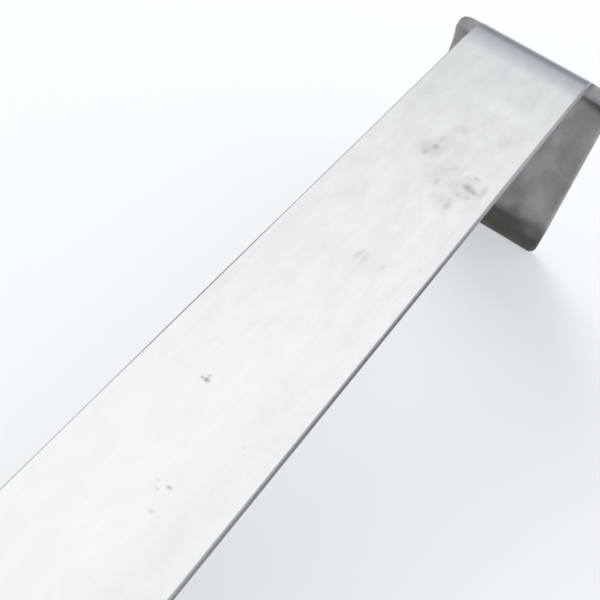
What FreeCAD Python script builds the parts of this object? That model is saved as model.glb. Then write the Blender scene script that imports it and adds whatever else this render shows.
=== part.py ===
# Handheld surgical retractor: one flat steel strip whose wider end is bent down into a lipped blade
import FreeCAD
import Part
import math
import os

from FreeCAD import Vector

# Handle strip
strip_width = 25.0
strip_thickness = 3.0
handle_length = 205.0
handle_corner_radius = 6.0

# Bend between handle and blade
bend_outer_radius = 13.0
bend_angle = 90.0

# Blade and its shoulders
blade_width = 36.6
blade_depth = 52.0
shoulder_angle = 40.0
shoulder_corner_radius = 4.0
shoulder_root_radius = 1.2
blade_corner_radius = 1.5

# Lip at the blade's tip, turned towards the handle
lip_inner_radius = 7.0
lip_angle = 40.0
lip_straight = 1.0

# Softened edges all round
edge_radius = 0.9

# Sizes that follow from the ones above
bend_inner_radius = bend_outer_radius - strip_thickness
lip_outer_radius = lip_inner_radius + strip_thickness
lip_drop = lip_outer_radius * math.sin(math.radians(lip_angle)) + lip_straight * math.cos(math.radians(lip_angle))
lip_start_depth = blade_depth - lip_drop
blade_front = bend_outer_radius
blade_back = bend_inner_radius
lip_centre = Vector(0, blade_back - lip_inner_radius, -lip_start_depth)
bend_centre = Vector(0, 0, -bend_outer_radius)


def on_circle(centre, radius, angle):
    """Point at an angle that turns from straight up, over the front, to straight down."""
    turn = math.radians(angle)
    return centre + Vector(0, radius * math.sin(turn), radius * math.cos(turn))


def arc(centre, radius, start, end):
    """Arc edge between two such angles."""
    middle = 0.5 * (start + end)
    points = [on_circle(centre, radius, angle) for angle in (start, middle, end)]
    return Part.Arc(*points).toShape()


def line(start, end):
    return Part.makeLine(start, end)


def widen(edges, width):
    """Solid made by drawing a closed side outline across the strip's width."""
    face = Part.Face(Part.Wire(edges))
    face.translate(Vector(-0.5 * width, 0, 0))
    return face.extrude(Vector(width, 0, 0))


def handle_and_shoulder_root():
    """Handle strip and the first part of the bend, as wide as the handle."""
    far_top = Vector(0, -handle_length, 0)
    far_under = Vector(0, -handle_length, -strip_thickness)
    bend_top = on_circle(bend_centre, bend_outer_radius, 0)
    bend_under = on_circle(bend_centre, bend_inner_radius, 0)
    root_top = on_circle(bend_centre, bend_outer_radius, shoulder_angle)
    root_under = on_circle(bend_centre, bend_inner_radius, shoulder_angle)
    outline = [
        line(far_top, bend_top),
        arc(bend_centre, bend_outer_radius, 0, shoulder_angle),
        line(root_top, root_under),
        arc(bend_centre, bend_inner_radius, shoulder_angle, 0),
        line(bend_under, far_under),
        line(far_under, far_top),
    ]
    return widen(outline, strip_width)


def blade_and_lip():
    """Rest of the bend, the blade and its lip, as wide as the blade."""
    root_top = on_circle(bend_centre, bend_outer_radius, shoulder_angle)
    root_under = on_circle(bend_centre, bend_inner_radius, shoulder_angle)
    front_top = on_circle(bend_centre, bend_outer_radius, bend_angle)
    back_top = on_circle(bend_centre, bend_inner_radius, bend_angle)
    lip_end_angle = bend_angle + lip_angle
    front_lip = on_circle(lip_centre, lip_outer_radius, bend_angle)
    back_lip = on_circle(lip_centre, lip_inner_radius, bend_angle)
    front_turned = on_circle(lip_centre, lip_outer_radius, lip_end_angle)
    back_turned = on_circle(lip_centre, lip_inner_radius, lip_end_angle)
    run_out = on_circle(Vector(0, 0, 0), lip_straight, lip_end_angle + 90)
    outline = [
        arc(bend_centre, bend_outer_radius, shoulder_angle, bend_angle),
        line(front_top, front_lip),
        arc(lip_centre, lip_outer_radius, bend_angle, lip_end_angle),
        line(front_turned, front_turned + run_out),
        line(front_turned + run_out, back_turned + run_out),
        line(back_turned + run_out, back_turned),
        arc(lip_centre, lip_inner_radius, lip_end_angle, bend_angle),
        line(back_lip, back_top),
        arc(bend_centre, bend_inner_radius, bend_angle, shoulder_angle),
        line(root_under, root_top),
    ]
    return widen(outline, blade_width)


def straight_edges_near(shape, half_width, place):
    """Edges as long as the strip is thick, on both sides, that pass close to a place of the side outline."""
    found = []
    for edge in shape.Edges:
        middle = edge.valueAt(0.5 * (edge.FirstParameter + edge.LastParameter))
        across = abs(abs(middle.x) - half_width)
        away = math.hypot(middle.y - place.y, middle.z - place.z)
        if across < 0.01 and away < 0.01 and abs(edge.Length - strip_thickness) < 0.01:
            found.append(edge)
    return found


def rounded_corners(shape):
    """Corners of the outline as seen square to the strip's face."""
    mid_bend = bend_outer_radius - 0.5 * strip_thickness
    mid_lip = lip_inner_radius + 0.5 * strip_thickness
    lip_end_angle = bend_angle + lip_angle
    run_out = on_circle(Vector(0, 0, 0), lip_straight, lip_end_angle + 90)
    handle_end = Vector(0, -handle_length, -0.5 * strip_thickness)
    shoulder = on_circle(bend_centre, mid_bend, shoulder_angle)
    tip = on_circle(lip_centre, mid_lip, lip_end_angle) + run_out
    corners = [
        (handle_end, 0.5 * strip_width, handle_corner_radius),
        (shoulder, 0.5 * blade_width, shoulder_corner_radius),
        (shoulder, 0.5 * strip_width, shoulder_root_radius),
        (tip, 0.5 * blade_width, blade_corner_radius),
    ]
    for place, half_width, radius in corners:
        edges = straight_edges_near(shape, half_width, place)
        shape = shape.makeFillet(radius, edges)
    return shape


def is_sharp(shape, edge):
    """True where two faces meet at a real angle along an edge."""
    faces = [face for face in shape.Faces if any(other.isSame(edge) for other in face.Edges)]
    if len(faces) != 2:
        return False
    middle = edge.valueAt(0.5 * (edge.FirstParameter + edge.LastParameter))
    normals = []
    for face in faces:
        u, v = face.Surface.parameter(middle)
        normals.append(face.normalAt(u, v))
    return abs(normals[0].dot(normals[1])) < 0.9


def softened(shape):
    """The whole outline's edges, broken on both faces."""
    edges = [edge for edge in shape.Edges if is_sharp(shape, edge)]
    return shape.makeFillet(edge_radius, edges)


def set_down(shape):
    """The retractor as it lies on a table: on the lip's edge and the underside of the handle's end."""
    lip_end_angle = bend_angle + lip_angle
    run_out = on_circle(Vector(0, 0, 0), lip_straight - edge_radius, lip_end_angle + 90)
    tip_contact = on_circle(lip_centre, lip_outer_radius - edge_radius, lip_end_angle) + run_out
    end_contact = Vector(0, -handle_length + edge_radius, -strip_thickness + edge_radius)
    reach = tip_contact - end_contact
    slope = math.degrees(math.atan2(-reach.z, reach.y))
    placed = shape.copy()
    placed.rotate(Vector(0, 0, 0), Vector(1, 0, 0), slope)
    box = placed.optimalBoundingBox(False, False)
    placed.translate(Vector(0, -0.5 * (box.YMin + box.YMax), -box.ZMin))
    print("handle slope", round(slope, 3), "degrees")
    return placed


def retractor():
    blank = handle_and_shoulder_root().fuse(blade_and_lip()).removeSplitter()
    solid = softened(rounded_corners(blank.Solids[0]))
    return set_down(solid.Solids[0] if solid.Solids else solid)


os.makedirs("parts", exist_ok=True)
body = retractor()
box = body.optimalBoundingBox(False, False)
print("valid", body.isValid(), "closed", body.isClosed(), "faces", len(body.Faces))
print("volume", round(body.Volume, 1), "mm3")
print("x", round(box.XMin, 3), round(box.XMax, 3))
print("y", round(box.YMin, 3), round(box.YMax, 3))
print("z", round(box.ZMin, 3), round(box.ZMax, 3))
body.exportStep("parts/retractor.step")
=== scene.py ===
# %% [markdown]
# # A hand-held retractor in satin stainless steel
#
# The instrument is one flat steel strip. Most of it is a plain handle, 25 mm wide and 3 mm thick. Its far end was
# cut wider while the strip was flat, and was then bent down through a right angle into a blade with a small lip at
# the tip. The steel's finish is written first, because the bending step hands it out. After that the lesson follows
# the maker's order: blank, softened edges, bends. The measured solid is loaded at the very start, so that the finished
# piece can be held against it.

# %% Load the measured solid
import math

import bmesh
import bpy
from mathutils import Matrix, Vector


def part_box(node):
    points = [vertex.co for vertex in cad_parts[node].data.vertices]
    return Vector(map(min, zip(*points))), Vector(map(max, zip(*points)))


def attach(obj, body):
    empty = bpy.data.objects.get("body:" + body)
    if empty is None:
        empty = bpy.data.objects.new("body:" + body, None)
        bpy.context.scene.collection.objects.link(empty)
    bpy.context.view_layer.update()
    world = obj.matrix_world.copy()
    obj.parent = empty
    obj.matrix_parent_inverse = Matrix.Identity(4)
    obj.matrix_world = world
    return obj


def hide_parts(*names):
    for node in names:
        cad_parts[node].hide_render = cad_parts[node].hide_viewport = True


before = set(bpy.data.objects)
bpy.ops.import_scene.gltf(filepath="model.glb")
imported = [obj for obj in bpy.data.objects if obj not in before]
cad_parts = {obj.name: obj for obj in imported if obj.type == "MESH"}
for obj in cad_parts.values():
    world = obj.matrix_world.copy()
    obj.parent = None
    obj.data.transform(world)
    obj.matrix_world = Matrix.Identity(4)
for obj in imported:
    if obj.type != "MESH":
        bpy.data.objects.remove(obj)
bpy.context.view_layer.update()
solid_low, solid_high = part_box("retractor")
print("solid, mm:", [round(1000 * v, 2) for v in solid_high - solid_low])

# %% [markdown]
# ## Sizes
#
# A cutter's drawing shows the flat blank, and a bender's drawing shows radii and angles. Both are needed here, and
# all lengths are in metres. The coordinate that runs along the strip is called s. It is zero where the bend begins,
# negative on the handle and positive round the bend, down the blade and into the lip.

# %% Sizes of the blank and of its bends
MM = 0.001
STRIP_WIDTH = 25 * MM
THICKNESS = 3 * MM
HANDLE_LENGTH = 205 * MM
HANDLE_CORNER = 6 * MM
BLADE_WIDTH = 36.6 * MM
BLADE_DEPTH = 52 * MM
BLADE_CORNER = 1.5 * MM
BLADE_FRONT = 13 * MM
SHOULDER_ANGLE = math.radians(40)
SHOULDER_CORNER = 4 * MM
SHOULDER_ROOT = 1.2 * MM
LIP_RADIUS = 10 * MM
LIP_ANGLE = math.radians(40)
LIP_STRAIGHT = 1 * MM
EDGE_RADIUS = 0.9 * MM
HANDLE_EDGE_RADIUS = 0.28 * MM

# %% [markdown]
# A strip that is pressed over a former doesn't go from straight to round at a line. A few millimetres before the bend
# it already leans over a little. On bright steel this lead-in is easy to see: it makes the tone fade slowly towards the
# crest. It is made here as a first bend of six degrees on a large radius, and the main bend does the rest.

# %% Lead-in and main bend
LEAD_RADIUS = 60 * MM
LEAD_ANGLE = math.radians(6)
BEND_RADIUS = 12.5 * MM
BEND_ANGLE = math.radians(90) - LEAD_ANGLE
lead_reach = LEAD_RADIUS * math.sin(LEAD_ANGLE)
bend_reach = BEND_RADIUS * (1 - math.sin(LEAD_ANGLE))
lead_start = BLADE_FRONT - bend_reach - lead_reach
bend_fall = LEAD_RADIUS * (1 - math.cos(LEAD_ANGLE)) + BEND_RADIUS * math.cos(LEAD_ANGLE)
print("lead-in starts at, mm:", round(lead_start / MM, 2), "fall of both bends, mm:", round(bend_fall / MM, 2))

# %% [markdown]
# Metal in the middle of the thickness neither stretches nor shrinks when it is bent. The length of an arc at that
# depth is therefore the length to allow on the flat blank.

# %% Lengths on the flat blank
bend_middle = BEND_RADIUS - THICKNESS / 2
lip_middle = LIP_RADIUS - THICKNESS / 2
lip_drop = LIP_RADIUS * math.sin(LIP_ANGLE) + LIP_STRAIGHT * math.cos(LIP_ANGLE)
bend_start = lead_start + (LEAD_RADIUS - THICKNESS / 2) * LEAD_ANGLE
shoulder_at = bend_start + bend_middle * (SHOULDER_ANGLE - LEAD_ANGLE)
blade_top = bend_start + bend_middle * BEND_ANGLE
lip_top = blade_top + BLADE_DEPTH - lip_drop - bend_fall
lip_end = lip_top + lip_middle * LIP_ANGLE
blank_end = lip_end + LIP_STRAIGHT
print("blank, mm:", round(1000 * (HANDLE_LENGTH + blank_end), 1), "long,", round(1000 * BLADE_WIDTH, 1), "wide")

# %% [markdown]
# ## Node helpers
#
# Materials, light and bending are all written as node trees. A small class adds nodes and wires them, so that each
# recipe below reads from top to bottom like a list of steps.


# %% A short hand for node trees
class Recipe:
    """Adds nodes to a tree. Every method gives back a socket that the next step can use."""

    def __init__(self, tree):
        self.tree = tree

    def add(self, kind, **settings):
        node = self.tree.nodes.new(kind)
        for name, value in settings.items():
            setattr(node, name, value)
        return node

    def put(self, socket, value):
        if isinstance(value, bpy.types.NodeSocket):
            self.tree.links.new(value, socket)
        else:
            socket.default_value = value

    def math(self, operation, a, b=0.0, clamp=False):
        node = self.add("ShaderNodeMath", operation=operation, use_clamp=clamp)
        self.put(node.inputs[0], a)
        self.put(node.inputs[1], b)
        return node.outputs[0]

    def vector(self, operation, a, b=(0.0, 0.0, 0.0)):
        node = self.add("ShaderNodeVectorMath", operation=operation)
        self.put(node.inputs[0], a)
        self.put(node.inputs[1], b)
        return node.outputs["Value"] if operation == "LENGTH" else node.outputs["Vector"]

    def split(self, vector):
        node = self.add("ShaderNodeSeparateXYZ")
        self.put(node.inputs[0], vector)
        return node.outputs["X"], node.outputs["Y"], node.outputs["Z"]

    def join(self, x, y, z):
        node = self.add("ShaderNodeCombineXYZ")
        for socket, value in zip(node.inputs, (x, y, z)):
            self.put(socket, value)
        return node.outputs["Vector"]

    def stretch(self, vector, scale, shift=(0.0, 0.0, 0.0)):
        node = self.add("ShaderNodeMapping")
        self.put(node.inputs["Vector"], vector)
        node.inputs["Scale"].default_value = scale
        node.inputs["Location"].default_value = shift
        return node.outputs["Vector"]

    def noise(self, vector, detail=2.0, roughness=0.5, distortion=0.0, output="Fac"):
        node = self.add("ShaderNodeTexNoise")
        self.put(node.inputs["Vector"], vector)
        node.inputs["Scale"].default_value = 1.0
        node.inputs["Detail"].default_value = detail
        node.inputs["Roughness"].default_value = roughness
        node.inputs["Distortion"].default_value = distortion
        return node.outputs[output]

    def spread(self, value, low, high, to_low=0.0, to_high=1.0):
        node = self.add("ShaderNodeMapRange", interpolation_type="SMOOTHSTEP")
        self.put(node.inputs["Value"], value)
        for name, number in (("From Min", low), ("From Max", high), ("To Min", to_low), ("To Max", to_high)):
            self.put(node.inputs[name], number)
        return node.outputs["Result"]

    def blend(self, amount, a, b):
        """Mixes two colours. The node has sockets for every kind of data; 6, 7 and 2 are those for colour."""
        node = self.add("ShaderNodeMix", data_type="RGBA")
        self.put(node.inputs[0], amount)
        self.put(node.inputs[6], a)
        self.put(node.inputs[7], b)
        return node.outputs[2]


# %% [markdown]
# ## Satin stainless steel
#
# The strip was brushed along its length, then handled, washed and sterilised many times. It is bright, but not a
# mirror: fine lines run along it, cloudy patches are a little duller, and a few dark specks and wiped smears have
# stayed. All patterns read the strip's own flat coordinates (across, along, depth), which the bending step keeps on
# the mesh, so the brushing goes round the bend as it does on the real one.

# %% Start the steel
steel = bpy.data.materials.new("satin_steel")
steel.use_nodes = True
steel.node_tree.nodes.clear()
make = Recipe(steel.node_tree)
on_strip = make.add("ShaderNodeAttribute", attribute_name="strip").outputs["Vector"]
across, along, depth = make.split(on_strip)

# %% [markdown]
# Brushing leaves lines far longer than they are wide. A noise texture whose coordinates are squeezed along the strip
# gives them. They have been rubbed nearly away, most of all on the bend, and show best in the right half and close to
# the left edge. The noise is moved by half a step in depth, because it is weakest on its own grid, where the strip's
# outer face would otherwise lie.

# %% Brushed lines
LINES_PER_METRE = (1500, 26, 400)
HALF_STEP_DEEPER = (0, 0, 0.5)
KEPT_IN_MIDDLE = 0.30
KEPT_ON_BEND = 0.15
hair_lines = make.noise(make.stretch(on_strip, LINES_PER_METRE, HALF_STEP_DEEPER), detail=1.0, roughness=0.5)
right_half = make.spread(across, 2 * MM, 8 * MM, 0.0, 1.0)
left_edge = make.spread(across, -8 * MM, -11.5 * MM, 0.0, 0.5)
kept = make.math("ADD", KEPT_IN_MIDDLE, make.math("ADD", right_half, left_edge))
kept = make.math("MULTIPLY", kept, make.spread(along, -35 * MM, -12 * MM, 1.0, KEPT_ON_BEND))
lines = make.math("MULTIPLY", make.math("SUBTRACT", hair_lines, 0.5), kept)
print("noise steps per millimetre across the strip:", LINES_PER_METRE[0] * MM)

# %% [markdown]
# Washing and steam leave a mottled bloom on satin steel: fine grain, streaky clouds, and broad patches. Each changes
# the brightness by only a few hundredths. The patterns swing about nought, so that they can simply be added. The bloom
# is weaker towards the handle's end, and the handle's right half is a little duller there, where a hand holds it.

# %% Mottle and cloudy patches: how many to the metre (across, along, depth), shift, gain
CLOUDS = [
    ((620, 400, 300), (0.3, 1.9, 0), 0.40),
    ((400, 150, 90), (5.1, 0.8, 0), 1.7),
    ((120, 50, 50), (0.7, 2.2, 0), 0.7),
]
MIDDLE_TONE = 0.5
TONE_SWING = 0.6
mottle = 0.0
for scale, shift, gain in CLOUDS:
    cloud = make.noise(make.stretch(on_strip, scale, shift), detail=2.0, roughness=0.6, distortion=0.4)
    mottle = make.math("ADD", mottle, make.math("MULTIPLY", make.math("SUBTRACT", cloud, 0.5), gain))
mottle = make.math("MULTIPLY", mottle, make.spread(along, -115 * MM, -60 * MM, 0.55, 1.0))
held_side = make.math("MULTIPLY", right_half, make.spread(along, -72 * MM, -98 * MM, 0.0, -0.22))
swing = make.math("MULTIPLY", make.math("ADD", mottle, lines), TONE_SWING)
tone = make.math("ADD", make.math("ADD", MIDDLE_TONE, held_side), swing, clamp=True)
print("mottle patterns:", len(CLOUDS))

# %% [markdown]
# The photograph shows a few stains at definite places, so they are placed one by one, in millimetres on the flat strip.
# One small node group makes a soft spot of any size, and its edge is made ragged by shaking the coordinates first:
# finely for specks, more slowly for smears.


# %% A node group for one soft spot, used for stains and for painted highlight and shade
def stain_and_light_spot_group():
    group = bpy.data.node_groups.new("soft_stain_and_light", "ShaderNodeTree")
    for name, kind in (("Place", "NodeSocketVector"), ("Centre", "NodeSocketVector"), ("Per size", "NodeSocketVector"),
                       ("Core", "NodeSocketFloat"), ("Strength", "NodeSocketFloat")):
        group.interface.new_socket(name=name, in_out="INPUT", socket_type=kind)
    group.interface.new_socket(name="Mask", in_out="OUTPUT", socket_type="NodeSocketFloat")
    step = Recipe(group)
    given = step.add("NodeGroupInput").outputs
    away = step.vector("SUBTRACT", given["Place"], given["Centre"])
    distance = step.vector("LENGTH", step.vector("MULTIPLY", away, given["Per size"]))
    near = step.spread(distance, given["Core"], 1.0, 1.0, 0.0)
    step.put(step.add("NodeGroupOutput").inputs["Mask"], step.math("MULTIPLY", near, given["Strength"]))
    return group


stain_and_light_spot = stain_and_light_spot_group()
print("stain nodes:", len(stain_and_light_spot.nodes))


# %% Coordinates that give a ragged edge
def coordinates_moved(by, per_metre, detail, roughness):
    """The strip's coordinates, moved across and along by a noise."""
    noise = make.noise(make.stretch(on_strip, per_metre), detail=detail, roughness=roughness, output="Color")
    centred = make.vector("SUBTRACT", noise, (0.5, 0.5, 0.5))
    return make.vector("ADD", on_strip, make.stretch(centred, (by, by, 0)))


shaken = coordinates_moved(0.8 * MM, (900, 900, 900), detail=3.0, roughness=0.6)
drifted = coordinates_moved(0.9 * MM, (650, 500, 500), detail=1.5, roughness=0.5)

# %% [markdown]
# The tables below go from small and dark to large and faint: specks, smears, and the grey hazes round the smears. One
# spot before the bend is a painted highlight, brighter instead. The last three tables are for the inner side of the
# blade: darker spots, the strongest of them painted shade in the inner corner under the bend; a paler place; and a
# place where the painted dark reflection in the lip is weaker.

# %% Stains and painted light, in millimetres: across, along, half width, half length, strength
SPECKS = [
    (-2.65, -101.15, 0.66, 0.54, 0.62),
    (-3.35, -101.10, 0.46, 0.40, 0.40),
    (-2.75, -100.35, 0.44, 0.60, 0.30),
    (3.50, -117.50, 0.55, 0.52, 0.38),
    (2.40, -118.60, 0.50, 0.45, 0.16),
    (1.65, -117.55, 0.45, 0.40, 0.11),
    (3.75, -121.50, 0.58, 0.50, 0.18),
    (7.55, -106.50, 0.32, 0.62, 0.10),
    (-6.90, -101.13, 3.30, 0.14, 0.07),
]
SMEARS = [
    (-1.42, -35.40, 1.00, 1.20, 0.56),
    (-1.40, -32.90, 0.75, 2.30, 0.24),
    (-2.30, -37.80, 0.95, 1.60, 0.32),
    (2.85, -43.00, 0.85, 1.70, 0.30),
    (3.90, -37.70, 1.00, 1.20, 0.14),
    (7.65, -40.25, 1.50, 1.35, 0.70),
    (8.95, -40.80, 1.20, 1.05, 0.50),
    (8.00, -37.30, 0.90, 1.05, 0.38),
    (10.30, -39.20, 0.85, 2.30, 0.34),
    (10.20, -40.80, 0.80, 0.95, 0.20),
    (8.65, -42.80, 0.95, 1.00, 0.30),
    (7.20, -43.20, 1.05, 1.05, 0.18),
    (7.00, -46.80, 0.85, 1.90, 0.30),
    (6.90, -45.10, 0.70, 0.95, 0.16),
    (1.40, -66.40, 0.60, 2.60, 0.26),
    (2.50, -66.80, 0.50, 2.20, 0.15),
    (5.60, -66.20, 0.70, 1.70, 0.14),
]
HAZES = [
    (-1.90, -36.40, 2.80, 3.60, 0.24),
    (7.60, -40.90, 3.60, 4.60, 0.26),
    (2.60, -40.20, 5.00, 6.50, 0.16),
    (1.00, -33.00, 4.00, 5.50, 0.13),
    (0.20, -28.20, 2.20, 2.60, 0.13),
    (5.80, -46.60, 3.20, 3.40, 0.16),
    (-9.60, -22.60, 1.90, 3.60, 0.11),
    (7.30, -25.00, 2.40, 3.00, 0.10),
    (2.80, -66.60, 3.60, 4.00, 0.09),
]
# A painted highlight before the bend, where the tone is raised.
PAINTED_HIGHLIGHT = [
    (4.00, -17.30, 8.50, 4.20, 0.45),
]
# Darker spots on the inner side; the strongest, under the bend, is painted shade in the inner corner.
INNER_SMEARS_AND_SHADE = [
    (9.80, 48.20, 2.60, 2.20, 0.50),
    (4.00, 40.00, 3.00, 5.00, 0.25),
    (16.60, 11.60, 5.00, 3.40, 0.80),
    (17.00, 28.90, 2.00, 5.00, 0.28),
    (16.40, 22.00, 2.40, 3.20, 0.10),
]
INNER_PATCHES = [
    (13.80, 42.80, 4.60, 7.80, 0.95),
]
# Where the painted dark reflection in the lip is weaker.
LIP_LESS_DARK = [
    (15.60, 51.40, 4.20, 3.20, 0.45),
]
STAIN_AND_LIGHT_DEPTH = 1.5 * MM


# %% From tables to masks
def placed_stains_and_light(rows, where, core=0.0, face=0.0):
    """Adds one spot after another, stains and painted light alike; each is kept to one face by its small size in depth.
    """
    total = 0.0
    for x, s, half_width, half_length, strength in rows:
        spot = make.add("ShaderNodeGroup", node_tree=stain_and_light_spot)
        make.put(spot.inputs["Place"], where)
        spot.inputs["Centre"].default_value = (x * MM, s * MM, face)
        spot.inputs["Per size"].default_value = (1 / (half_width * MM), 1 / (half_length * MM), 1 / STAIN_AND_LIGHT_DEPTH)
        spot.inputs["Core"].default_value = core
        spot.inputs["Strength"].default_value = strength
        total = make.math("ADD", total, spot.outputs["Mask"], clamp=True)
    return total


specks = placed_stains_and_light(SPECKS, shaken, core=0.1)
smears = placed_stains_and_light(SMEARS, drifted)
wiped = make.noise(make.stretch(on_strip, (420, 260, 300), (0.3, 1.9, 0)), detail=2.0, roughness=0.5, distortion=0.5)
broken = make.spread(wiped, 0.62, 0.38, 0.5, 1.2)
hazes = make.math("MULTIPLY", placed_stains_and_light(HAZES, drifted, core=0.1), broken)
# Painted highlight: the tone is raised before the bend.
tone = make.math("ADD", tone, placed_stains_and_light(PAINTED_HIGHLIGHT, drifted), clamp=True)
inner_smears_and_shade = placed_stains_and_light(INNER_SMEARS_AND_SHADE, drifted, face=-THICKNESS)
inner_patches = placed_stains_and_light(INNER_PATCHES, drifted, face=-THICKNESS)
lip_less_dark = placed_stains_and_light(LIP_LESS_DARK, drifted, face=-THICKNESS)
tables = (SPECKS, SMEARS, HAZES, PAINTED_HIGHLIGHT, INNER_SMEARS_AND_SHADE, INNER_PATCHES, LIP_LESS_DARK)
print("stains and rubbed spots placed:", sum(len(rows) for rows in tables))

# %% [markdown]
# The inner side was never polished like the outer one. Its darker, olive-grey satin with blotches is partly that duller
# finish and partly painted shade for the shadowed table that it reflects, and the dark band in the lip is a painted
# reflection of the handle's dark underside. The cut edges were only ground, so they are duller; their dark tone is
# partly that finish and partly painted shade, darkest some 70 to 80 mm before the bend and paler towards the bend, on
# the blade and towards the end. Past the shoulders the edges are
# rounder, so there the ground look begins right at the outer face, and the inner side's look reaches half a
# millimetre further up the edge. The left edge of the handle also has a line of grime where it is held.

# %% The duller inner side and the ground edges, with their painted shade
INNER_BEGINS = -2.75 * MM
INNER_IN_FULL = -2.95 * MM
past_shoulder = make.spread(along, shoulder_at - 1.5 * MM, shoulder_at, 0.0, 0.5 * MM)
edge_depth = make.math("SUBTRACT", depth, past_shoulder)
inner_side = make.spread(edge_depth, INNER_BEGINS, INNER_IN_FULL)
blotches = make.noise(make.stretch(on_strip, (170, 120, 1), (1.7, 0.3, 0)), detail=3.0, roughness=0.6, distortion=0.4)
lip_begins = make.spread(along, lip_top - 2.5 * MM, lip_top + 1.6 * MM)
lip_ends = make.spread(along, lip_end - 2.0 * MM, blank_end, 1.0, 0.85)
# The lip, where the colour is painted dark as a reflection of the handle's dark underside.
lip_reflection_mask = make.math("MULTIPLY", inner_side, make.math("MULTIPLY", lip_begins, lip_ends))
lip_reflection_mask = make.math("MULTIPLY", lip_reflection_mask, make.math("SUBTRACT", 1.0, lip_less_dark))
# The cut edges: a duller ground finish, and partly painted shade for the dim reflections along them.
rim_depth = make.math("SUBTRACT", depth, make.math("MULTIPLY", past_shoulder, 0.3))
below_rim = make.spread(rim_depth, -0.15 * MM, -0.32 * MM)
ground_and_shaded_edge = make.math("MULTIPLY", below_rim, make.spread(edge_depth, INNER_IN_FULL, INNER_BEGINS))
# How much paler the edges are: more towards the bend, on the blade and towards the end.
towards_bend = make.spread(along, -70 * MM, -25 * MM)
towards_end = make.spread(along, -82 * MM, -150 * MM, 0.0, 0.7)
paler_edge_share = make.math("ADD", towards_bend, towards_end)
soiled_from = make.spread(along, -114 * MM, -94 * MM)
soiled_to = make.spread(along, -60 * MM, -84 * MM)
soiled_part = make.math("MULTIPLY", soiled_from, soiled_to)
soiled_rim = make.math("MULTIPLY", make.spread(across, -12.15 * MM, -12.3 * MM, 0.0, 0.85), soiled_part)

# %% [markdown]
# Paint goes on in this order: polished face, ground edges and inner side with their painted shade first, then the
# painted dark reflection in the lip, and hazes, smears, grime and specks last. Duller places are rougher too.

# %% Colour and finish together
bright = (0.880, 0.883, 0.868, 1.0)
clouded = (0.720, 0.724, 0.718, 1.0)
# Inner side colours: partly a duller finish, partly painted shade for the shadowed table that it reflects.
inner_dark_and_shaded = (0.26, 0.26, 0.245, 1.0)
inner_pale_and_shaded = (0.35, 0.35, 0.33, 1.0)
inner_paler_patch = (0.40, 0.40, 0.385, 1.0)
# Near-black paint for painted shade: the lip's painted reflection and the inner corner under the bend.
dark_shade_paint = (0.08, 0.084, 0.07, 1.0)
# Edge colours: partly ground finish, partly painted shade for what the edges reflect.
handle_edge_finish_and_shade = (0.20, 0.21, 0.23, 1.0)
blade_edge_finish_and_shade = (0.44, 0.445, 0.455, 1.0)
grease = (0.30, 0.31, 0.33, 1.0)
soot = (0.10, 0.10, 0.11, 1.0)
colour = make.blend(tone, clouded, bright)
inner_tone_and_shade = make.blend(make.spread(blotches, 0.35, 0.68), inner_dark_and_shaded, inner_pale_and_shaded)
inner_tone_and_shade = make.blend(inner_patches, inner_tone_and_shade, inner_paler_patch)
# Darker spots and the painted corner shade go on the inner side.
inner_tone_and_shade = make.blend(inner_smears_and_shade, inner_tone_and_shade, dark_shade_paint)
edge_finish_and_shade = make.blend(paler_edge_share, handle_edge_finish_and_shade, blade_edge_finish_and_shade)
lip_painted_reflection = make.math("MULTIPLY", lip_reflection_mask, 0.9)
layers = [
    (ground_and_shaded_edge, edge_finish_and_shade),
    (inner_side, inner_tone_and_shade),
    (lip_painted_reflection, dark_shade_paint),
    (hazes, grease),
    (smears, grease),
    (soiled_rim, grease),
    (specks, soot),
]
for mask, paint in layers:
    colour = make.blend(mask, colour, paint)
roughness = 0.30  # of the polished face
for mask, extra in ((lines, 0.15), (inner_side, 0.12), (ground_and_shaded_edge, 0.35), (specks, 0.25)):
    roughness = make.math("ADD", roughness, make.math("MULTIPLY", mask, extra))
print("layers of colour over the polished face:", len(layers))

# %% [markdown]
# The surface itself is one plain metal shader. Everything drawn above reaches it as a colour or a roughness.

# %% Steel surface
surface = make.add("ShaderNodeBsdfPrincipled")
surface.inputs["Metallic"].default_value = 1.0
make.put(surface.inputs["Base Color"], colour)
make.put(surface.inputs["Roughness"], roughness)
make.put(make.add("ShaderNodeOutputMaterial").inputs["Surface"], surface.outputs["BSDF"])
print("steel nodes:", len(steel.node_tree.nodes))

# %% [markdown]
# ## The flat blank
#
# The real blank is sheared or laser-cut from 3 mm sheet. Its outline is walked corner by corner, and each corner has
# its own radius. Where the blade steps out from the handle the walk turns the other way, and the same helper rounds
# that inner corner too. The helper also keeps the direction that faces outwards at every point, for the next step.


# %% Outline of the blank, corner by corner
def rounded_outline(corners, steps=8):
    """Points and outward directions of a polygon walked anticlockwise; a corner is (across, along, radius)."""
    points = []
    for index, (x, s, radius) in enumerate(corners):
        here = Vector((x, s))
        into = (here - Vector(corners[index - 1][:2])).normalized()
        out = (Vector(corners[(index + 1) % len(corners)][:2]) - here).normalized()
        left_turn = into.x * out.y - into.y * out.x
        turn = math.atan2(left_turn, into.dot(out))
        sense = 1 if turn > 0 else -1
        start = here - into * radius * math.tan(abs(turn) / 2)
        outward = Vector((into.y, -into.x))
        centre = start - sense * outward * radius
        for step in range(steps + 1):
            facing = Matrix.Rotation(turn * step / steps, 2) @ outward
            points.append((centre + sense * facing * radius, facing))
    return points


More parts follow.
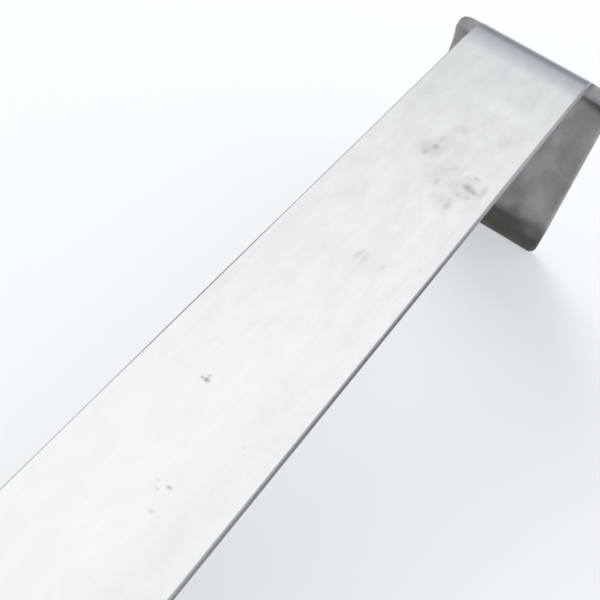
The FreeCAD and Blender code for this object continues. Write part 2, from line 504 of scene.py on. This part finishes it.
half_strip = STRIP_WIDTH / 2
half_blade = BLADE_WIDTH / 2
outline = rounded_outline([
    (-half_strip, -HANDLE_LENGTH, HANDLE_CORNER),
    (half_strip, -HANDLE_LENGTH, HANDLE_CORNER),
    (half_strip, shoulder_at, SHOULDER_ROOT),
    (half_blade, shoulder_at, SHOULDER_CORNER),
    (half_blade, blank_end, BLADE_CORNER),
    (-half_blade, blank_end, BLADE_CORNER),
    (-half_blade, shoulder_at, SHOULDER_CORNER),
    (-half_strip, shoulder_at, SHOULDER_ROOT),
])
print("outline points:", len(outline))

# %% [markdown]
# Tumbling leaves no sharp edge on an instrument. The blade, which touches tissue, is rounded most. Along the handle
# only the burr is taken off, which draws a line no wider than a hair. A Bevel modifier could round the edges, but on an
# outline with many short steps it pinches at the corners. Rings of points are safer: each ring is the outline drawn in
# by a little at its own depth, following a quarter circle on both faces.


# %% Plate with softened edges
def edge_radius_at(point):
    """Small along the handle, full on the blade, and changing over inside the shoulder's root."""
    share = min(max((abs(point.x) - half_strip) / SHOULDER_ROOT, 0), 1)
    return HANDLE_EDGE_RADIUS + (EDGE_RADIUS - HANDLE_EDGE_RADIUS) * share


def edge_profile(radius, steps=5):
    """How far in and how deep each ring lies, from the outer face round the edge to the inner face."""
    quarter = [math.radians(90 * step / steps) for step in range(steps + 1)]
    upper = [(radius * (1 - math.sin(a)), radius * (1 - math.cos(a))) for a in quarter]
    return upper + [(inset, THICKNESS - down) for inset, down in reversed(upper)]


def flat_plate(points):
    """Closed plate: x across, y along, z = 0 on the outer face and minus the thickness on the inner face."""
    bm = bmesh.new()
    profiles = [edge_profile(edge_radius_at(p)) for p, _ in points]
    rings = []
    for level in range(len(profiles[0])):
        insets_and_depths = [profile[level] for profile in profiles]
        rings.append([bm.verts.new((*(p - facing * inset), -down))
                      for (p, facing), (inset, down) in zip(points, insets_and_depths)])
    bm.faces.new(rings[0])
    bm.faces.new(list(reversed(rings[-1])))
    for upper, lower in zip(rings, rings[1:]):
        for index in range(len(points)):
            following = (index + 1) % len(points)
            bm.faces.new((upper[index], lower[index], lower[following], upper[following]))
    return bm


plate = flat_plate(outline)
print("plate faces:", len(plate.faces), "volume, mm3:", round(plate.calc_volume() * 1e9, 1))

# %% [markdown]
# A flat face can't bend where it has no points. The plate is cut across into narrow bands wherever it will bend, and
# into a few wide ones elsewhere.


# %% Bands across the plate
def evenly(start, end, count):
    return [start + (end - start) * index / count for index in range(count + 1)]


def cut_across(bm, places):
    for s in places:
        everything = bm.verts[:] + bm.edges[:] + bm.faces[:]
        bmesh.ops.bisect_plane(bm, geom=everything, dist=1e-7, plane_co=(0, s, 0), plane_no=(0, 1, 0))


HANDLE_BANDS = 20
LEAD_BANDS = 8
BEND_BANDS = 45
BLADE_BANDS = 6
LIP_BANDS = 20
cut_across(plate, evenly(-HANDLE_LENGTH + HANDLE_CORNER, lead_start, HANDLE_BANDS)[:-1])
cut_across(plate, evenly(lead_start, bend_start, LEAD_BANDS)[:-1])
cut_across(plate, evenly(bend_start, blade_top, BEND_BANDS))
cut_across(plate, evenly(blade_top, lip_top, BLADE_BANDS)[1:-1])
cut_across(plate, evenly(lip_top, lip_end, LIP_BANDS))
for face in plate.faces:
    face.smooth = True
blank_mesh = bpy.data.meshes.new("retractor_strip")
plate.to_mesh(blank_mesh)
plate.free()
strip = bpy.data.objects.new("retractor_strip", blank_mesh)
bpy.context.scene.collection.objects.link(strip)
print("faces after cutting:", len(blank_mesh.polygons))

# %% [markdown]
# ## Bending
#
# A press bends the real blank round a former, the small lip first and the large bend last. The bend is a rule, so it
# suits Geometry Nodes: up to a start line nothing moves, inside the bend each point goes round a circle whose radius
# depends on its depth in the sheet, and past the bend the rest of the plate swings down as one stiff piece. The same
# group is used for the lip, the main bend and the lead-in, always the far one first.


# %% One press bend as a node group
def press_bend_group():
    group = bpy.data.node_groups.new("press_bend", "GeometryNodeTree")
    group.interface.new_socket(name="Plate", in_out="INPUT", socket_type="NodeSocketGeometry")
    for name in ("Start", "Outer radius", "Angle", "Thickness"):
        group.interface.new_socket(name=name, in_out="INPUT", socket_type="NodeSocketFloat")
    group.interface.new_socket(name="Plate", in_out="OUTPUT", socket_type="NodeSocketGeometry")
    step = Recipe(group)
    given = step.add("NodeGroupInput").outputs
    x, s, z = step.split(step.add("GeometryNodeInputPosition").outputs[0])
    middle = step.math("SUBTRACT", given["Outer radius"], step.math("MULTIPLY", given["Thickness"], 0.5))
    past = step.math("MAXIMUM", step.math("SUBTRACT", s, given["Start"]), 0.0)
    angle = step.math("MINIMUM", step.math("DIVIDE", past, middle), given["Angle"])
    beyond = step.math("SUBTRACT", past, step.math("MULTIPLY", angle, middle))
    radius = step.math("ADD", given["Outer radius"], z)
    sine, cosine = step.math("SINE", angle), step.math("COSINE", angle)
    before = step.math("MINIMUM", s, given["Start"])
    forward = step.math("ADD", step.math("MULTIPLY", radius, sine), step.math("MULTIPLY", beyond, cosine))
    level = step.math("SUBTRACT", step.math("MULTIPLY", radius, cosine), step.math("MULTIPLY", beyond, sine))
    moved = step.join(x, step.math("ADD", before, forward), step.math("SUBTRACT", level, given["Outer radius"]))
    bend = step.add("GeometryNodeSetPosition")
    step.put(bend.inputs["Geometry"], given["Plate"])
    step.put(bend.inputs["Position"], moved)
    step.put(step.add("NodeGroupOutput").inputs["Plate"], bend.outputs["Geometry"])
    return group


press_bend = press_bend_group()
print("press bend nodes:", len(press_bend.nodes))

# %% [markdown]
# On a table the retractor rests on the edge of the lip and the end of the handle. The measured solid has rounds of the
# same radius on both, so the slope of the handle is the slope of the line between their centres. The same rule as
# above, written in plain Python for single points, gives those two centres.


# %% Slope of the handle at rest
def pressed(point, start, outer_radius, angle_limit):
    y, z = point
    past = max(y - start, 0)
    middle = outer_radius - THICKNESS / 2
    angle = min(past / middle, angle_limit)
    beyond = past - angle * middle
    radius = outer_radius + z
    forward = radius * math.sin(angle) + beyond * math.cos(angle)
    level = radius * math.cos(angle) - beyond * math.sin(angle)
    return min(y, start) + forward, level - outer_radius


BENDS = [
    ("Lip", lip_top, LIP_RADIUS, LIP_ANGLE),
    ("Bend", bend_start, BEND_RADIUS, BEND_ANGLE),
    ("Lead-in", lead_start, LEAD_RADIUS, LEAD_ANGLE),
]
tip_round = (blank_end - EDGE_RADIUS, -EDGE_RADIUS)
for _, start, outer_radius, angle in BENDS:
    tip_round = pressed(tip_round, start, outer_radius, angle)
end_round = (-HANDLE_LENGTH + EDGE_RADIUS, -THICKNESS + EDGE_RADIUS)
slope = math.atan2(end_round[1] - tip_round[1], tip_round[0] - end_round[0])
print("handle slope, degrees:", round(math.degrees(slope), 3))

# %% [markdown]
# The whole tree keeps the flat coordinates as an attribute for the steel, bends lip and blade, turns the piece to its
# slope and sets it down centred on the table.


# %% The bending tree
def bending_tree():
    tree = bpy.data.node_groups.new("bend_and_set_down", "GeometryNodeTree")
    tree.interface.new_socket(name="Blank", in_out="INPUT", socket_type="NodeSocketGeometry")
    numbers = ["Thickness", "Slope"] + [f"{bend[0]} {what}" for bend in BENDS for what in ("start", "radius", "angle")]
    for name in numbers:
        tree.interface.new_socket(name=name, in_out="INPUT", socket_type="NodeSocketFloat")
    tree.interface.new_socket(name="Steel", in_out="INPUT", socket_type="NodeSocketMaterial")
    tree.interface.new_socket(name="Retractor", in_out="OUTPUT", socket_type="NodeSocketGeometry")
    step = Recipe(tree)
    given = step.add("NodeGroupInput").outputs
    keep = step.add("GeometryNodeStoreNamedAttribute", data_type="FLOAT_VECTOR", domain="POINT")
    keep.inputs["Name"].default_value = "strip"
    step.put(keep.inputs["Geometry"], given["Blank"])
    step.put(keep.inputs["Value"], step.add("GeometryNodeInputPosition").outputs[0])
    shape = keep.outputs["Geometry"]
    for part, *_ in BENDS:
        bend = step.add("GeometryNodeGroup", node_tree=press_bend)
        step.put(bend.inputs["Plate"], shape)
        step.put(bend.inputs["Start"], given[part + " start"])
        step.put(bend.inputs["Outer radius"], given[part + " radius"])
        step.put(bend.inputs["Angle"], given[part + " angle"])
        step.put(bend.inputs["Thickness"], given["Thickness"])
        shape = bend.outputs["Plate"]
    turn = step.add("GeometryNodeTransform")
    step.put(turn.inputs["Geometry"], shape)
    step.put(turn.inputs["Rotation"], step.join(given["Slope"], 0.0, 0.0))
    box = step.add("GeometryNodeBoundBox")
    step.put(box.inputs["Geometry"], turn.outputs["Geometry"])
    middle = step.vector("MULTIPLY", step.vector("ADD", box.outputs["Min"], box.outputs["Max"]), (-0.5, -0.5, 0.0))
    lift = step.vector("MULTIPLY", box.outputs["Min"], (0.0, 0.0, -1.0))
    lay = step.add("GeometryNodeTransform")
    step.put(lay.inputs["Geometry"], turn.outputs["Geometry"])
    step.put(lay.inputs["Translation"], step.vector("ADD", middle, lift))
    real = step.add("GeometryNodeRealizeInstances")
    step.put(real.inputs["Geometry"], lay.outputs["Geometry"])
    dress = step.add("GeometryNodeSetMaterial")
    step.put(dress.inputs["Geometry"], real.outputs["Geometry"])
    step.put(dress.inputs["Material"], given["Steel"])
    step.put(step.add("NodeGroupOutput").inputs["Retractor"], dress.outputs["Geometry"])
    return tree


# %% [markdown]
# The sizes go in by name, like the settings of a press: each input of the tree is looked up and given its number.

# %% Bend the blank
bending = strip.modifiers.new("bending", "NODES")
bending.node_group = bending_tree()
settings = {"Thickness": THICKNESS, "Slope": slope, "Steel": steel}
for part, start, outer_radius, angle in BENDS:
    settings.update({part + " start": start, part + " radius": outer_radius, part + " angle": angle})
for item in bending.node_group.interface.items_tree:
    if item.name in settings:
        bending[item.identifier] = settings[item.name]
print("settings given:", len(settings))

# %% [markdown]
# Bright steel shows every fault of shading. Weighted normals make the wide faces read as truly flat and leave the
# turning of the light to the rounds and the bends. Both modifiers are then baked, so that the piece is a plain mesh.

# %% Even shading, then one plain mesh
even_light = strip.modifiers.new("even_light", "WEIGHTED_NORMAL")
even_light.mode = "FACE_AREA"
even_light.weight = 50
graph = bpy.context.evaluated_depsgraph_get()
finished = bpy.data.meshes.new_from_object(strip.evaluated_get(graph), preserve_all_data_layers=True, depsgraph=graph)
strip.modifiers.clear()
strip.data = finished
bpy.data.meshes.remove(blank_mesh)
finished.name = "retractor_strip"
corners = [Vector(corner) for corner in strip.bound_box]
size = [max(c[axis] for c in corners) - min(c[axis] for c in corners) for axis in range(3)]
print("strip, mm:", [round(1000 * v, 2) for v in size], "faces:", len(finished.polygons))
print("materials:", [m.name for m in finished.materials], "attributes:", [a.name for a in finished.attributes][:8])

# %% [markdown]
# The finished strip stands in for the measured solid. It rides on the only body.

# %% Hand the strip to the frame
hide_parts("retractor")
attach(strip, "root")

# %% [markdown]
# ## Table, light and camera
#
# The retractor lies on a plain white table of the kind that is lit softly from below, so the shadow on it is pale.
# The glow is shown to the camera and to the steel, but throws no light of its own. The table is far larger than the
# view, so that no edge of it shows from any side.

# %% White table
TABLE_HALF = 40.0
PAPER_COLOUR = (0.470, 0.478, 0.486, 1.0)
PAPER_GLOW = (0.412, 0.430, 0.445, 1.0)
table_mesh = bpy.data.meshes.new("white_table")
table_corners = [(x * TABLE_HALF, y * TABLE_HALF, 0) for x, y in ((-1, -1), (1, -1), (1, 1), (-1, 1))]
table_mesh.from_pydata(table_corners, [], [(0, 1, 2, 3)])
table = bpy.data.objects.new("white_table", table_mesh)
bpy.context.scene.collection.objects.link(table)
paper = bpy.data.materials.new("white_paper")
paper.use_nodes = True
paper_surface = paper.node_tree.nodes["Principled BSDF"]
paper_surface.inputs["Base Color"].default_value = PAPER_COLOUR
paper_surface.inputs["Roughness"].default_value = 0.9
paper_surface.inputs["Specular IOR Level"].default_value = 0.1
paper_surface.inputs["Emission Color"].default_value = PAPER_GLOW
glowing = Recipe(paper.node_tree)
rays = glowing.add("ShaderNodeLightPath").outputs
seen = glowing.math("ADD", rays["Is Camera Ray"], rays["Is Glossy Ray"])
seen = glowing.math("ADD", seen, rays["Is Transmission Ray"], clamp=True)
glowing.put(paper_surface.inputs["Emission Strength"], seen)
table.data.materials.append(paper)
print("table, metres across:", 2 * TABLE_HALF)

# %% [markdown]
# Steel has almost no colour of its own: it shows the room. The room here is a light tent with bright panels overhead
# and a dim ring above the horizon. The strip's top sees the panels, while its rounds and the crest of the bend see the
# dim ring, which draws the dark lines along them. The tent's wall behind the photographer is pale from top to bottom.
# Heights go from 0 at the horizon to 1 overhead; they are sines of the angle above the horizon.

# %% Soft room: height, red, green and blue
ROOM_LEVELS = [
    (0.00, (0.85, 0.86, 0.87)),
    (0.03, (0.80, 0.81, 0.82)),
    (0.08, (0.18, 0.195, 0.235)),
    (0.35, (0.22, 0.24, 0.285)),
    (0.60, (0.40, 0.435, 0.485)),
    (0.68, (0.69, 0.72, 0.76)),
    (0.72, (0.77, 0.80, 0.83)),
    (0.735, (0.83, 0.86, 0.90)),
    (0.765, (1.31, 1.345, 1.40)),
    (0.80, (1.08, 1.09, 1.11)),
    (0.86, (1.06, 1.07, 1.06)),
    (0.90, (1.21, 1.22, 1.21)),
    (0.94, (1.33, 1.33, 1.32)),
    (0.965, (1.14, 1.14, 1.13)),
    (1.00, (1.10, 1.10, 1.09)),
]
CAMERA_SIDE_LEVEL = 0.85
world = bpy.data.worlds.new("soft_room")
bpy.context.scene.world = world
world.use_nodes = True
world.node_tree.nodes.clear()
room = Recipe(world.node_tree)
_, forward, upward = room.split(room.add("ShaderNodeTexCoord").outputs["Generated"])
fall_off = room.add("ShaderNodeValToRGB")
ramp = fall_off.color_ramp
ramp.interpolation = "LINEAR"
while len(ramp.elements) > 1:
    ramp.elements.remove(ramp.elements[-1])
for index, (position, level) in enumerate(ROOM_LEVELS):
    stop = ramp.elements[0] if index == 0 else ramp.elements.new(position)
    stop.position = position
    stop.color = (*level, 1.0)
room.put(fall_off.inputs["Fac"], upward)
camera_side = room.math("MULTIPLY", room.spread(forward, -0.15, -0.5), room.spread(upward, 0.08, 0.2))
pale_wall = (CAMERA_SIDE_LEVEL, CAMERA_SIDE_LEVEL, CAMERA_SIDE_LEVEL, 1.0)
glow = room.add("ShaderNodeBackground")
room.put(glow.inputs["Color"], room.blend(camera_side, fall_off.outputs["Color"], pale_wall))
glow.inputs["Strength"].default_value = 1.0
room.put(room.add("ShaderNodeOutputWorld").inputs["Surface"], glow.outputs["Background"])
print("levels in the room:", len(ROOM_LEVELS))

# %% [markdown]
# One soft box stands to the left, beyond the blade. It only lights the table, and so throws the pale shadow to the
# right and towards the camera. It is hidden from reflections, because the steel would show it as a hard white square.

# %% One soft box
LAMP_PLACE = Vector((-0.9, 0.9, 0.8))
LAMP_AIM = Vector((0, 0.05, 0.02))
LAMP_SIZE = 0.8
LAMP_WATTS = 14.0
LAMP_COLOUR = (1.0, 0.97, 0.96)
lamp_data = bpy.data.lights.new("key_light", "AREA")
lamp_data.shape = "RECTANGLE"
lamp_data.size = lamp_data.size_y = LAMP_SIZE
lamp_data.energy = LAMP_WATTS
lamp_data.color = LAMP_COLOUR
lamp = bpy.data.objects.new("key_light", lamp_data)
bpy.context.scene.collection.objects.link(lamp)
lamp.location = LAMP_PLACE
lamp.rotation_euler = (LAMP_AIM - LAMP_PLACE).to_track_quat("-Z", "Y").to_euler()
lamp.visible_glossy = False
print("lamp, metres from the steel:", round((LAMP_AIM - LAMP_PLACE).length, 2))

# %% [markdown]
# The camera hangs over the handle's end, a little to the right, looks down along the strip and is rolled to the left.
# Its place was worked out from the strip's straight edges in the picture.

# %% Camera
CAMERA_PLACE = Vector((34.38, -111.30, 127.58)) * MM
SIGHT_LINE = Vector((-0.21983, 0.76153, -0.60971)).normalized()
CAMERA_UP = Vector((-0.52820, 0.43254, 0.73069))
FILM_WIDTH_MM = 36.0
FOCAL_LENGTH_MM = 64.35
camera_data = bpy.data.cameras.new("camera")
camera_data.sensor_width = FILM_WIDTH_MM
camera_data.lens = FOCAL_LENGTH_MM
camera_data.clip_start = 0.01
camera_data.clip_end = 200.0
camera = bpy.data.objects.new("camera", camera_data)
bpy.context.scene.collection.objects.link(camera)
to_right = SIGHT_LINE.cross(CAMERA_UP).normalized()
axes = Matrix((to_right, to_right.cross(SIGHT_LINE), -SIGHT_LINE)).transposed()
camera.matrix_world = Matrix.Translation(CAMERA_PLACE) @ axes.to_4x4()
bpy.context.scene.camera = camera
bpy.context.scene.view_settings.view_transform = "Standard"
print("camera looks down by, degrees:", round(math.degrees(math.asin(-SIGHT_LINE.z)), 1))
